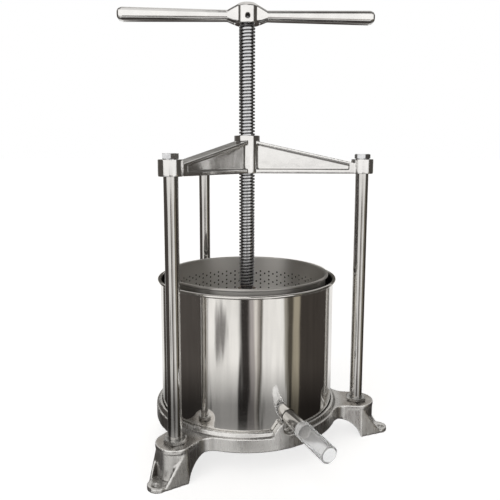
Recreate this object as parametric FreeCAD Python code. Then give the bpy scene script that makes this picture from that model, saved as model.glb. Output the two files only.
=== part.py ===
import FreeCAD, Part
import math
import os

Vec = FreeCAD.Vector
UP = Vec(0, 0, 1)
CENTRE = Vec(0, 0, 0)

# Frame: the origin lies on the screw axis at the level of the feet, +Z is up, the spout points to -Y.
# All sizes are in millimetres and all angles in degrees.

# General fits
press_gap = 0.02          # radial gap of pieces that are pressed, screwed or welded together
running_gap = 0.05        # radial gap of pieces that turn or slide in one another
face_gap = 0.3            # gap between faces that move past each other
thread_room = 2           # how much deeper a tapped hole is than its screw

# Layout of the three columns
arm_angles = {"front_right": -30, "back": 90, "front_left": 210}
column_circle_radius = 145
column_radius = 8
column_seat_depth = 6     # how far the column enters the bridge
column_thread_depth = 20  # how far the column is screwed into its foot
lock_nut_flats = 24
lock_nut_height = 4

# Base casting
foot_height = 41.5        # top face of the ears and of the ring's outer step
ring_outer_radius = 119
ring_wall = 9
ring_bottom = 25
floor_top = 40
floor_thickness = 7
lip_height = 5.5          # how far the lip stands above the outer step
lip_width = 4.6
lip_top_inset = 1.2       # how far the lip's sloping outside draws in
seat_gap = 0.8            # radial room between the container and the lip
ear_radius = 22.5
ear_thickness = 5
ear_fillet = 20
foot_tip = 186.5          # from the screw axis to the tip of the lug
lug_radius = 12
foot_half_width = 24.5    # at the ground, where the flanks start to draw together towards the lug
foot_corner = 150         # distance of that place from the screw axis
flank_run = 28            # length of the tapered part of a flank, at the ground and under the ear
flank_run_top = 3
foot_taper = 0.46
foot_shell_inset = 0.4    # how far the flanks lie inside the ear's edge
front_wall_inset = 0.6    # the same for the round wall between the flanks, in front of the column
foot_boss_radius = 14     # boss round the column, inside the foot
foot_wall = 3.2
arch_start = 124
arch_start_height = 23
arch_mid = 140.5
arch_mid_height = 15.5
arch_end = 150
lug_thickness = 5
lug_hole_circle_radius = 179
lug_hole_radius = 3.25
under_rib_width = 6
under_hub_radius = 18
cradle_height = 14.5      # raised part of the ring that stands on both sides of the spout
cradle_half_width = 14
cradle_foot_half_width = 22
cradle_foot_height = 4.5
spout_notch_radius = 9.8

# Container and basket, made of stainless sheet
container_radius = 111    # outside of the wall
container_sheet = 0.8
container_floor_sheet = 1.0
container_rim_height = 205
container_bead_radius = 2.1
basket_radius = 101.5     # outside of the wall
basket_sheet = 0.8
basket_floor_sheet = 1.0
basket_rim_height = 211
basket_bead_radius = 1.9

# Spout and hose
spout_radius = 8.6
spout_wall = 1.0
spout_root_height = 60
spout_slope = 4
spout_reach = 146.5       # end of the spout, from the screw axis
hose_radius = 10
hose_bore_radius = 7.8    # of the free part; the part on the spout is stretched to the spout's size
hose_overlap = 7
hose_reach = 194

# Bridge casting
bridge_bottom = 339
bridge_hub_radius = 16
bridge_hub_height = 47
arm_half_width = 10
arm_web_half_width = 7
arm_top_at_hub = 378.5
arm_top_at_boss = 353.2
arm_top_flange = 3.6
arm_bottom_flange = 5
arm_end_rib = 3.5
bridge_boss_radius = 13.5
bridge_boss_height = 18

# Bolts that hold the bridge on the columns
bolt_radius = 5
bolt_flats = 17
bolt_head_height = 6.5
bolt_length = 38

# Screw
screw_radius = 10
screw_shoulder_height = 190
top_spigot_radius = 8
top_spigot_length = 19
end_spigot_radius = 7

# Handle
handle_angle = -23.4
handle_height = 530.5
handle_half_length = 157.5
handle_hub_radius = 15.5
handle_hub_below = 10     # how far the hub reaches below and above the bar's middle
handle_hub_above = 15
handle_hub_flat_radius = 11
bar_height_at_hub = 12.8
bar_depth_at_hub = 15.5
bar_height_at_end = 15.5
bar_depth_at_end = 18.5
pin_radius = 3
pin_length = 22
pin_height = handle_height - 2.3
flare_start = 10.9        # the flare of each side: two places along the bar with their depths
flare_start_depth = 21.6
flare_middle = 17
flare_middle_depth = 18
bar_start = 24
bar_corner = 5
# Rounded tip of the bar: distance from its end, less depth, less height on each side, less corner radius
bar_tip = [(6, 0, 0, 0), (2, 2.5, 1.2, 0.5), (0, 7, 3.5, 1.5)]

# Pressure plate
plate_radius = 98
plate_thickness = 10
plate_bottom = 148
plate_hub_radius = 13
plate_hub_foot_radius = 20
plate_rib_count = 6
plate_rib_width = 6
plate_rib_height = 14
plate_rib_reach = 84
retainer_recess_radius = 13
retainer_recess_depth = 7
retainer_radius = 4
retainer_head_radius = 11.5
retainer_head_height = 5
retainer_length = 20

# Heights that follow from the sizes above
lip_top = foot_height + lip_height
lip_inner_radius = container_radius + seat_gap
column_bottom = foot_height - column_thread_depth
column_top = bridge_bottom + column_seat_depth
boss_top = bridge_bottom + bridge_boss_height
container_floor_top = floor_top + container_floor_sheet
handle_hub_bottom = handle_height - handle_hub_below
handle_hub_top = handle_height + handle_hub_above


def cylinder(radius, bottom, top, x=0, y=0):
    return Part.makeCylinder(radius, top - bottom, Vec(x, y, bottom))


def box(x0, x1, y0, y1, z0, z1):
    return Part.makeBox(x1 - x0, y1 - y0, z1 - z0, Vec(x0, y0, z0))


def turned(shape, angle):
    copy = shape.copy()
    copy.rotate(CENTRE, UP, angle)
    return copy


def on_arm(shape, angle, along=0):
    """Moves a shape out along +X and turns it to an arm's direction."""
    copy = shape.copy()
    copy.translate(Vec(along, 0, 0))
    copy.rotate(CENTRE, UP, angle)
    return copy


def profile_face(points):
    """A face in the XZ plane through (x, z) points."""
    corners = [Vec(x, 0, z) for x, z in points]
    return Part.Face(Part.makePolygon(corners + [corners[0]]))


def revolved(points):
    return profile_face(points).revolve(CENTRE, UP, 360)


def side_prism(points, half_width):
    """A profile in the XZ plane, as thick as twice half_width across Y."""
    face = profile_face(points)
    face.translate(Vec(0, -half_width, 0))
    return face.extrude(Vec(0, 2 * half_width, 0))


def flat_faced(outlines):
    """A solid with flat sides through outlines that have as many corners, each side parallel to its next."""
    faces = [Part.Face(Part.makePolygon(outline + [outline[0]])) for outline in (outlines[0], outlines[-1])]
    for first, second in zip(outlines, outlines[1:]):
        for i in range(len(first)):
            j = (i + 1) % len(first)
            faces.append(Part.Face(Part.makePolygon([first[i], first[j], second[j], second[i], first[i]])))
    shell = Part.makeShell(faces)
    shell.sewShape()
    return Part.makeSolid(shell)


def hexagon_prism(flats, bottom, height):
    corner_radius = flats / math.sqrt(3)
    corners = [turned(Part.Vertex(corner_radius, 0, bottom), 60 * i).Point for i in range(7)]
    return Part.Face(Part.makePolygon(corners)).extrude(Vec(0, 0, height))


def rounded_rectangle(x, width, z0, z1, corner):
    """A closed outline across the handle bar, in the plane at x, with round corners."""
    half = width / 2
    quarter = corner * (1 - math.sqrt(0.5))
    edges = []
    start = Vec(x, -half + corner, z0)
    for near, mid, far in (
        (Vec(x, half - corner, z0), Vec(x, half - quarter, z0 + quarter), Vec(x, half, z0 + corner)),
        (Vec(x, half, z1 - corner), Vec(x, half - quarter, z1 - quarter), Vec(x, half - corner, z1)),
        (Vec(x, -half + corner, z1), Vec(x, -half + quarter, z1 - quarter), Vec(x, -half, z1 - corner)),
        (Vec(x, -half, z0 + corner), Vec(x, -half + quarter, z0 + quarter), Vec(x, -half + corner, z0)),
    ):
        edges.append(Part.makeLine(start, near))
        edges.append(Part.Arc(near, mid, far).toShape())
        start = far
    return Part.Wire(edges)


def save(name, shape):
    shape.exportStep(f"parts/{name}.step")


# Base casting

def base_ring():
    """Ring wall, floor and the rounded lip that centres the container, as one revolved section."""
    step = lip_inner_radius + lip_width
    wall_inner = ring_outer_radius - ring_wall
    return revolved([
        (0, floor_top - floor_thickness),
        (0, floor_top),
        (lip_inner_radius, floor_top),
        (lip_inner_radius, lip_top),
        (step - lip_top_inset, lip_top),
        (step, foot_height),
        (ring_outer_radius, foot_height),
        (ring_outer_radius, ring_bottom),
        (wall_inner, ring_bottom),
        (wall_inner, floor_top - floor_thickness),
    ])


def foot_outline(start, half, corner, run, height):
    """Outline across a foot at one height: straight flanks that draw together over the last run."""
    end = half - foot_taper * run
    return [
        Vec(start, -half, height), Vec(corner, -half, height), Vec(corner + run, -end, height),
        Vec(corner + run, end, height), Vec(corner, half, height), Vec(start, half, height),
    ]


def arch_cut():
    """The space below the ring and inside the foot's inner edge."""
    start = Vec(arch_start, 0, arch_start_height)
    ground = Vec(arch_end, 0, 0)
    low = -5
    inner = ring_outer_radius - 2 * ring_wall
    edges = [
        Part.Arc(start, Vec(arch_mid, 0, arch_mid_height), ground).toShape(),
        Part.makeLine(ground, Vec(arch_end, 0, low)),
        Part.makeLine(Vec(arch_end, 0, low), Vec(inner, 0, low)),
        Part.makeLine(Vec(inner, 0, low), Vec(inner, 0, ring_bottom)),
        Part.makeLine(Vec(inner, 0, ring_bottom), start),
    ]
    face = Part.Face(Part.Wire(edges))
    span = 3 * foot_half_width
    face.translate(Vec(0, -span, 0))
    return face.extrude(Vec(0, 2 * span, 0))


def ear_web(side):
    """The hollow-cornered web that joins one flank of an ear to the ring."""
    across = ear_radius + ear_fillet
    reach = ring_outer_radius + ear_fillet
    along = math.sqrt(reach ** 2 - across ** 2)
    on_ring = Vec(along, across, 0) * (ring_outer_radius / reach)
    angle_ring = math.atan2(on_ring.y - across, on_ring.x - along)
    angle_middle = (angle_ring - math.pi / 2) / 2
    root = ring_outer_radius - ring_wall + 1
    points = [
        on_ring,
        Vec(along + ear_fillet * math.cos(angle_middle), across + ear_fillet * math.sin(angle_middle), 0),
        Vec(along, ear_radius, 0),
        Vec(along, ear_radius - foot_wall, 0),
        Vec(root, ear_radius - foot_wall, 0),
        on_ring * ((ring_outer_radius - ring_wall / 2) / ring_outer_radius),
    ]
    on_ring, middle, tangent, below, root, inner_ring = [Vec(p.x, p.y * side, ring_bottom) for p in points]
    edges = [
        Part.Arc(on_ring, middle, tangent).toShape(),
        Part.makeLine(tangent, below),
        Part.makeLine(below, root),
        Part.makeLine(root, inner_ring),
        Part.makeLine(inner_ring, on_ring),
    ]
    return Part.Face(Part.Wire(edges)).extrude(Vec(0, 0, foot_height - ring_bottom))


def foot():
    """One ear and foot, pointing along +X: tapered shell with a round front wall, arch, boss and lug."""
    inner = ring_outer_radius - ring_wall + 1
    ear_under = foot_height - ear_thickness
    half_top = ear_radius - foot_shell_inset
    body = flat_faced([
        foot_outline(inner, foot_half_width, foot_corner, flank_run, 0),
        foot_outline(inner, half_top, foot_corner, flank_run_top, ear_under),
    ])
    front_radius = ear_radius - front_wall_inset
    front_wall = cylinder(front_radius, 0, ear_under + ear_thickness / 2, column_circle_radius)
    body = body.fuse(front_wall)
    body = body.fuse(cylinder(ear_radius, ear_under, foot_height, column_circle_radius))
    body = body.fuse(box(inner, column_circle_radius, -ear_radius, ear_radius, ear_under, foot_height))
    body = body.fuse(cylinder(lug_radius, 0, lug_thickness, foot_tip - lug_radius))
    body = body.fuse(ear_web(1)).fuse(ear_web(-1))
    past_tip = 2 * lug_radius
    pocket = flat_faced([
        foot_outline(column_circle_radius, foot_half_width - foot_wall, foot_corner, flank_run + past_tip,
                     lug_thickness),
        foot_outline(column_circle_radius, half_top - foot_wall, foot_corner, flank_run + past_tip,
                     ear_under),
    ])
    hollow = box(ring_outer_radius, column_circle_radius, foot_wall - half_top, half_top - foot_wall,
                 -1, ear_under - foot_wall)
    hollow = hollow.fuse(cylinder(half_top - foot_wall, -1, ear_under - foot_wall, column_circle_radius))
    boss = cylinder(foot_boss_radius, 0, foot_height, column_circle_radius)
    body = body.cut(arch_cut()).cut(pocket.cut(front_wall)).cut(hollow.cut(boss))
    hole = cylinder(lug_hole_radius, -1, lug_thickness + 1, lug_hole_circle_radius)
    return body.cut(hole)


def spout_cradle():
    """The ring rises to two shoulders in front, with a notch between them that the spout lies in."""
    top = foot_height + cradle_height
    foot_top = foot_height + cradle_foot_height
    arc_of_ring = revolved([
        (lip_inner_radius, foot_height - 1), (ring_outer_radius, foot_height - 1),
        (ring_outer_radius, top), (lip_inner_radius, top),
    ])
    shoulders = profile_face([
        (-cradle_foot_half_width, foot_height - 1), (cradle_foot_half_width, foot_height - 1),
        (cradle_foot_half_width, foot_top), (cradle_half_width, top),
        (-cradle_half_width, top), (-cradle_foot_half_width, foot_top),
    ]).extrude(Vec(0, -2 * ring_outer_radius, 0))
    return arc_of_ring.common(shoulders)


def spout_notch():
    """Round-bottomed notch that lets the spout down into the ring."""
    low = foot_height + spout_notch_radius
    start = Vec(0, -container_radius + ring_wall, low)
    groove = Part.makeCylinder(spout_notch_radius, 2 * ring_wall + foot_wall, start, Vec(0, -1, 0))
    open_top = box(-spout_notch_radius, spout_notch_radius, -ring_outer_radius - foot_wall,
                   -container_radius + ring_wall, low, low + 2 * cradle_height)
    return groove.fuse(open_top)


def base():
    shape = base_ring()
    under = floor_top - floor_thickness
    shape = shape.fuse(cylinder(under_hub_radius, ring_bottom, under + 1))
    rib = box(under_hub_radius / 2, ring_outer_radius - ring_wall / 2,
              -under_rib_width / 2, under_rib_width / 2, ring_bottom, under + 1)
    one_foot = foot()
    for angle in arm_angles.values():
        shape = shape.fuse(turned(one_foot, angle)).fuse(turned(rib, angle)).fuse(turned(rib, angle + 60))
    for angle in arm_angles.values():
        bore = cylinder(column_radius + press_gap, column_bottom, foot_height + 1, column_circle_radius)
        shape = shape.cut(turned(bore, angle))
    return shape.fuse(spout_cradle()).cut(spout_notch()).removeSplitter()


# Columns, their lock nuts and the bolts on top

def column():
    shape = cylinder(column_radius, column_bottom, column_top)
    tapped = cylinder(bolt_radius + press_gap, boss_top - bolt_length - thread_room, column_top + 1)
    return shape.cut(tapped)


def lock_nut():
    nut = hexagon_prism(lock_nut_flats, foot_height, lock_nut_height)
    return nut.cut(cylinder(column_radius + press_gap, foot_height - 1, foot_height + lock_nut_height + 1))


def bridge_bolt():
    head = hexagon_prism(bolt_flats, boss_top, bolt_head_height)
    return head.fuse(cylinder(bolt_radius, boss_top - bolt_length, boss_top)).removeSplitter()


# Bridge casting

def bridge_arm():
    """One arm along +X: flat bottom, sloping top, and a shallow pocket on each side of its web."""
    start = bridge_hub_radius - 4
    end = column_circle_radius - bridge_boss_radius + 3
    run = column_circle_radius - bridge_boss_radius - bridge_hub_radius
    slope = (arm_top_at_boss - arm_top_at_hub) / run

    def top_at(x):
        return arm_top_at_hub + slope * (x - bridge_hub_radius)

    profile = [(start, bridge_bottom), (end, bridge_bottom), (end, top_at(end)), (start, top_at(start))]
    body = side_prism(profile, arm_half_width)
    pocket_start = bridge_hub_radius - 5
    pocket_end = column_circle_radius - bridge_boss_radius - arm_end_rib
    floor = bridge_bottom + arm_bottom_flange
    outline = [
        (pocket_start, floor),
        (pocket_end, floor),
        (pocket_end, top_at(pocket_end) - arm_top_flange),
        (pocket_start, top_at(pocket_start) - arm_top_flange),
    ]
    depth = arm_half_width - arm_web_half_width
    for side in (1, -1):
        pocket = side_prism(outline, depth)
        pocket.translate(Vec(0, side * arm_half_width, 0))
        body = body.cut(pocket)
    boss = cylinder(bridge_boss_radius, bridge_bottom, boss_top, column_circle_radius)
    return body.fuse(boss)


def bridge():
    hub_top = bridge_bottom + bridge_hub_height
    shape = cylinder(bridge_hub_radius, bridge_bottom, hub_top)
    arm = bridge_arm()
    for angle in arm_angles.values():
        shape = shape.fuse(turned(arm, angle))
    shape = shape.cut(cylinder(screw_radius + running_gap, bridge_bottom - 1, hub_top + 1))
    for angle in arm_angles.values():
        seat = cylinder(column_radius + press_gap, bridge_bottom - 1, column_top, column_circle_radius)
        hole = cylinder(bolt_radius + press_gap, bridge_bottom, boss_top + 1, column_circle_radius)
        shape = shape.cut(turned(seat.fuse(hole), angle))
    return shape.removeSplitter()


# Screw, handle and pin

def screw():
    retainer_top = screw_shoulder_end() + retainer_length + thread_room
    shape = cylinder(screw_radius, screw_shoulder_height, handle_hub_bottom)
    shape = shape.fuse(cylinder(end_spigot_radius, screw_shoulder_end(), screw_shoulder_height))
    shape = shape.fuse(cylinder(top_spigot_radius, handle_hub_bottom, handle_hub_bottom + top_spigot_length))
    shape = shape.cut(cylinder(retainer_radius + press_gap, screw_shoulder_end() - 1, retainer_top))
    return shape.cut(pin_hole()).removeSplitter()


def screw_shoulder_end():
    """Height of the lower end of the screw, which stands just clear of the plate's recess."""
    return plate_bottom + retainer_recess_depth - face_gap


def pin_hole():
    start = Vec(0, -2 * handle_hub_radius, pin_height)
    hole = Part.makeCylinder(pin_radius + press_gap, 4 * handle_hub_radius, start, Vec(0, 1, 0))
    return turned(hole, handle_angle)


def cut_corner_rectangle(x, width, z0, z1, corner):
    """As rounded_rectangle, with each round corner drawn as one flat that touches it."""
    half = width / 2
    cut = corner * (2 - math.sqrt(2))
    corners = [
        Vec(x, -half + cut, z0), Vec(x, half - cut, z0), Vec(x, half, z0 + cut), Vec(x, half, z1 - cut),
        Vec(x, half - cut, z1), Vec(x, -half + cut, z1), Vec(x, -half, z1 - cut), Vec(x, -half, z0 + cut),
    ]
    return corners


def handle():
    """Cast bar with a domed hub: each side flares out of the hub and ends in a rounded tip."""
    half_start = bar_height_at_hub / 2
    half_end = bar_height_at_end / 2
    start_low = handle_height - half_start
    start_high = handle_height + half_start
    end_low = handle_height - half_end
    end_high = handle_height + half_end
    flare = flat_faced([
        cut_corner_rectangle(flare_start, flare_start_depth, handle_hub_bottom, handle_hub_top - 2.2,
                             bar_corner),
        cut_corner_rectangle(flare_middle, flare_middle_depth, handle_hub_bottom + 1, handle_hub_top - 5,
                             bar_corner),
        cut_corner_rectangle(bar_start, bar_depth_at_hub, start_low, start_high, bar_corner),
    ])
    sections = [rounded_rectangle(bar_start, bar_depth_at_hub, start_low, start_high, bar_corner)]
    for back, less_depth, less_height, less_corner in bar_tip:
        sections.append(rounded_rectangle(handle_half_length - back, bar_depth_at_end - less_depth,
                                          end_low + less_height, end_high - less_height,
                                          bar_corner - less_corner))
    bar = Part.makeLoft(sections, True, True)
    side = flare.fuse(bar)
    hub = revolved([
        (0, handle_hub_bottom),
        (0, handle_hub_top),
        (handle_hub_flat_radius, handle_hub_top - 0.5),
        (handle_hub_radius, handle_hub_top - 5),
        (handle_hub_radius, handle_hub_bottom),
    ])
    shape = hub.fuse(side).fuse(turned(side, 180))
    socket_top = handle_hub_bottom + top_spigot_length + 0.5
    shape = shape.cut(cylinder(top_spigot_radius + press_gap, handle_hub_bottom - 1, socket_top))
    return turned(shape, handle_angle).cut(pin_hole()).removeSplitter()


def handle_pin():
    start = Vec(0, -pin_length / 2, pin_height)
    return turned(Part.makeCylinder(pin_radius, pin_length, start, Vec(0, 1, 0)), handle_angle)


# Pressure plate and the pieces that hang it on the screw

def pressure_plate():
    plate_top = plate_bottom + plate_thickness
    hub_top = screw_shoulder_height - face_gap
    shape = revolved([
        (0, plate_bottom),
        (0, hub_top),
        (plate_hub_radius, hub_top),
        (plate_hub_foot_radius, plate_top),
        (plate_radius, plate_top),
        (plate_radius, plate_bottom),
    ])
    rib = side_prism(
        [(5, plate_top - 1), (plate_rib_reach, plate_top - 1), (plate_rib_reach, plate_top + 2),
         (plate_hub_foot_radius, plate_top + plate_rib_height), (5, plate_top + plate_rib_height)],
        plate_rib_width / 2,
    )
    for i in range(plate_rib_count):
        shape = shape.fuse(turned(rib, 360 / plate_rib_count * i))
    shape = shape.cut(cylinder(end_spigot_radius + running_gap, plate_bottom - 1, hub_top + 1))
    recess_top = plate_bottom + retainer_recess_depth
    return shape.cut(cylinder(retainer_recess_radius, plate_bottom - 1, recess_top)).removeSplitter()


def retaining_screw():
    """Screw with a wide flat head in the plate's recess; the head carries the plate when it is raised."""
    top = screw_shoulder_end()
    head = cylinder(retainer_head_radius, top - retainer_head_height, top)
    return head.fuse(cylinder(retainer_radius, top, top + retainer_length)).removeSplitter()


# Container and basket

def sheet_wall(radius, sheet, bottom, rim, bead):
    """A sheet wall with its rim rolled outwards, as one revolved section with a six-sided roll."""
    inner = radius - sheet
    centre = radius - sheet / 2 + bead
    return revolved([
        (inner, bottom),
        (radius, bottom),
        (radius, rim - bead),
        (centre + bead, rim - bead / 2),
        (centre + bead, rim + bead / 2),
        (centre, rim + bead),
        (inner, rim + bead / 2),
    ])


def along_spout(distance_from_axis):
    """A point on the spout's axis at a distance from the screw axis."""
    run = distance_from_axis - container_radius
    return Vec(0, -distance_from_axis, spout_root_height - run * math.tan(math.radians(spout_slope)))


def spout_tube(radius, start, end):
    first = along_spout(start)
    last = along_spout(end)
    return Part.makeCylinder(radius, first.distanceToPoint(last), first, last - first)


def container_wall():
    wall = sheet_wall(container_radius, container_sheet, floor_top, container_rim_height,
                      container_bead_radius)
    return wall.cut(spout_tube(spout_radius + press_gap, container_radius - spout_radius,
                               container_radius + spout_radius))


def container_floor():
    return cylinder(container_radius - container_sheet - press_gap, floor_top, container_floor_top)


def spout():
    inside = container_radius - container_sheet
    shape = spout_tube(spout_radius, inside - 10, spout_reach)
    shape = shape.cut(spout_tube(spout_radius - spout_wall, inside - 20, spout_reach + 5))
    return shape.cut(cylinder(inside, floor_top, container_rim_height))


def hose():
    """Soft clear hose: wide where it is pushed over the spout, narrower beyond it."""
    start = spout_reach - hose_overlap
    shape = spout_tube(hose_radius, start, hose_reach)
    shape = shape.cut(spout_tube(spout_radius + press_gap, start - 5, spout_reach))
    return shape.cut(spout_tube(hose_bore_radius, start, hose_reach + 5))


def basket_wall():
    return sheet_wall(basket_radius, basket_sheet, container_floor_top, basket_rim_height, basket_bead_radius)


def basket_floor():
    radius = basket_radius - basket_sheet - press_gap
    return cylinder(radius, container_floor_top, container_floor_top + basket_floor_sheet)


os.makedirs("parts", exist_ok=True)
save("base", base())
for place, angle in arm_angles.items():
    save(f"column_{place}", on_arm(column(), angle, column_circle_radius))
    save(f"lock_nut_{place}", on_arm(lock_nut(), angle, column_circle_radius))
    save(f"bridge_bolt_{place}", on_arm(bridge_bolt(), angle, column_circle_radius))
save("bridge", bridge())
save("screw", screw())
save("handle", handle())
save("handle_pin", handle_pin())
save("pressure_plate", pressure_plate())
save("retaining_screw", retaining_screw())
save("container_wall", container_wall())
save("container_floor", container_floor())
save("spout", spout())
save("hose", hose())
save("basket_wall", basket_wall())
save("basket_floor", basket_floor())
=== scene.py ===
import math

import bmesh
import bpy
import numpy as np
from mathutils import Matrix, Vector


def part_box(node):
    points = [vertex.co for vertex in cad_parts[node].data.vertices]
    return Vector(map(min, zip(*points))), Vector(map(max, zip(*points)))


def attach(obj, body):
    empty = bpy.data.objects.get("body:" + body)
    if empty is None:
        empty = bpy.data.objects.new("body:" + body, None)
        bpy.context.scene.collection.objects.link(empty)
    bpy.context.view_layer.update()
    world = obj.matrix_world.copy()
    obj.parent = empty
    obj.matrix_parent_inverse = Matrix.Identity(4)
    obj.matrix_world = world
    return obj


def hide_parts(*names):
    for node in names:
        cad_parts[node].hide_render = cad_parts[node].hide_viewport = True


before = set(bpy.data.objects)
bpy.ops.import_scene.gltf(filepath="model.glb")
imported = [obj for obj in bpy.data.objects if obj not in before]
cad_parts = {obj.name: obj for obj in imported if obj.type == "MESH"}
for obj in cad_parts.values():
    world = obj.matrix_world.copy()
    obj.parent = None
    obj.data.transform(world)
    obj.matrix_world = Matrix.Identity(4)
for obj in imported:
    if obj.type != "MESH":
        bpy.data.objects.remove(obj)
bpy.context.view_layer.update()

MM = 0.001
UP = Vector((0, 0, 1))

# Sizes of the pieces, in metres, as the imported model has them

RIM_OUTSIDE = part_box("container_wall")[1].x
CONTAINER_RADIUS = 111 * MM
CONTAINER_SHEET = 0.8 * MM
CONTAINER_BEAD = 2.1 * MM
BASKET_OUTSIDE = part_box("basket_wall")[1].x
BASKET_RADIUS = 101.5 * MM
BASKET_SHEET = 0.8 * MM
BASKET_BEAD = 1.9 * MM
SPOUT_RADIUS = 8.6 * MM
SPOUT_BORE = 7.6 * MM
SPOUT_ROOT_HEIGHT = 60 * MM
SPOUT_SLOPE = 4
SPOUT_REACH = 146.5 * MM
HOSE_RADIUS = 10 * MM
HOSE_BORE = 7.8 * MM
HOSE_OVERLAP = 7 * MM
HOSE_REACH = 194 * MM
SCREW_CREST = 10 * MM
SCREW_ROOT = 7.75 * MM
SCREW_PITCH = 4 * MM
SCREW_SHOULDER = 190 * MM
END_SPIGOT = 7 * MM
LOCK_NUT_FLATS = 24 * MM
BOLT_FLATS = 17 * MM
BOLT_SHANK = 5 * MM
BOLT_TURN = 13
BRIDGE_BOSS_HEIGHT = 18 * MM
HEXAGON_CHAMFER_START = 0.97
HEXAGON_CHAMFER_ANGLE = 28
PIN_RADIUS = 3 * MM
PIN_WALL = 0.9 * MM
PIN_GAP = 22
PIN_LENGTH = 20.5 * MM
HANDLE_ANGLE = -23.4
FLOOR_RADIUS = 60
ARMS = ("front_right", "back", "front_left")


# Meshes


def mesh_from(name, build):
    """A mesh that a building function fills, with its faces turned outwards."""
    shape = bmesh.new()
    build(shape)
    bmesh.ops.remove_doubles(shape, verts=shape.verts, dist=1e-6)
    bmesh.ops.dissolve_degenerate(shape, edges=shape.edges, dist=1e-7)
    bmesh.ops.recalc_face_normals(shape, faces=shape.faces)
    mesh = bpy.data.meshes.new(name)
    shape.to_mesh(mesh)
    shape.free()
    return mesh


def frozen(name, mesh, add_modifiers):
    """A mesh with some modifiers applied to it."""
    carrier = bpy.data.objects.new(name, mesh)
    bpy.context.scene.collection.objects.link(carrier)
    add_modifiers(carrier)
    graph = bpy.context.evaluated_depsgraph_get()
    result = bpy.data.meshes.new_from_object(carrier.evaluated_get(graph))
    bpy.data.objects.remove(carrier)
    result.name = name
    return result


def piece(name, mesh, finish, body, nodes=(), sharp=38):
    """Puts a mesh into the scene as one of the object's pieces."""
    made = bpy.data.objects.new(name, mesh)
    bpy.context.scene.collection.objects.link(made)
    mesh.materials.clear()
    mesh.materials.append(finish)
    mesh.polygons.foreach_set("use_smooth", [True] * len(mesh.polygons))
    mesh.set_sharp_from_angle(angle=math.radians(sharp))
    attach(made, body)
    if nodes:
        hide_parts(*nodes)
    return made


def refinish(node, finish):
    """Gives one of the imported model's own meshes a finish."""
    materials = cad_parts[node].data.materials
    materials.clear()
    materials.append(finish)


def added_to(mesh, add):
    """The same mesh, with what a building function adds to it."""
    shape = bmesh.new()
    shape.from_mesh(mesh)
    add(shape)
    bmesh.ops.recalc_face_normals(shape, faces=shape.faces)
    shape.to_mesh(mesh)
    shape.free()
    return mesh


def ring_of(shape, radius, height, count):
    """One ring of vertices round the Z axis, or a single vertex on it."""
    if radius < 1e-9:
        return [shape.verts.new((0, 0, height))]
    ring = []
    for step in range(count):
        angle = 2 * math.pi * step / count
        ring.append(shape.verts.new((radius * math.cos(angle), radius * math.sin(angle), height)))
    return ring


def bridge_rings(shape, lower, upper):
    """Faces between two rings, either of which may be a single vertex."""
    count = max(len(lower), len(upper))
    for step in range(count):
        after = (step + 1) % count
        corners = [lower[step % len(lower)], lower[after % len(lower)]]
        corners += [upper[after % len(upper)], upper[step % len(upper)]]
        unique = list(dict.fromkeys(corners))
        if len(unique) > 2:
            shape.faces.new(unique)


def add_lathe(shape, outline, count=96, closed=False):
    """Turns an outline of (radius, height) points round the Z axis."""
    rings = [ring_of(shape, radius, height, count) for radius, height in outline]
    for lower, upper in zip(rings, rings[1:]):
        bridge_rings(shape, lower, upper)
    if closed:
        bridge_rings(shape, rings[-1], rings[0])


def lathe(name, outline, count=96, closed=False):
    return mesh_from(name, lambda shape: add_lathe(shape, outline, count, closed))


def arc(centre_radius, centre_height, radius, start, end, steps):
    """Points of (radius, height) along an arc of a section."""
    points = []
    for step in range(steps + 1):
        angle = math.radians(start + (end - start) * step / steps)
        across, up = radius * math.cos(angle), radius * math.sin(angle)
        points.append((centre_radius + across, centre_height + up))
    return points


def chamfered_rod(radius, low, high, chamfer):
    """Outline of a round bar with a chamfer at both ends."""
    return [
        (0, low),
        (radius - chamfer, low),
        (radius, low + chamfer),
        (radius, high - chamfer),
        (radius - chamfer, high),
        (0, high),
    ]


def softened(node, voxel, rounds, share):
    """A copy of a node's mesh with its edges rounded as a casting's are."""

    def modifiers(carrier):
        remesh = carrier.modifiers.new("Skin", "REMESH")
        remesh.mode = "VOXEL"
        remesh.voxel_size = voxel
        smooth = carrier.modifiers.new("Tumble", "SMOOTH")
        smooth.factor = 0.5
        smooth.iterations = rounds
        thin = carrier.modifiers.new("Thin", "DECIMATE")
        thin.ratio = share

    mesh = frozen(node + "_casting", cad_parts[node].data.copy(), modifiers)
    mark_bends(mesh)
    return mesh


def mark_bends(mesh, rounds=4):
    """Stores at each vertex how sharply the surface bends there, in 1/m: edges above zero, corners below."""
    count = len(mesh.vertices)
    place = np.empty(count * 3)
    mesh.vertices.foreach_get("co", place)
    place = place.reshape(-1, 3)
    normal = np.empty(count * 3)
    mesh.vertex_normals.foreach_get("vector", normal)
    normal = normal.reshape(-1, 3)
    ends = np.empty(len(mesh.edges) * 2, dtype=np.int32)
    mesh.edges.foreach_get("vertices", ends)
    first, second = ends[0::2], ends[1::2]
    step = place[second] - place[first]
    reach = np.maximum((step ** 2).sum(axis=1), 1e-10)
    neighbours = np.maximum(np.bincount(first, minlength=count) + np.bincount(second, minlength=count), 1)
    bend = np.bincount(first, -(normal[first] * step).sum(axis=1) / reach, count)
    bend += np.bincount(second, (normal[second] * step).sum(axis=1) / reach, count)
    bend /= neighbours
    for _ in range(rounds):
        around = np.bincount(first, bend[second], count) + np.bincount(second, bend[first], count)
        bend = (bend + around / neighbours) / 2
    mesh.attributes.new("Bend", "FLOAT", "POINT").data.foreach_set("value", bend)


# Finishes


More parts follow.
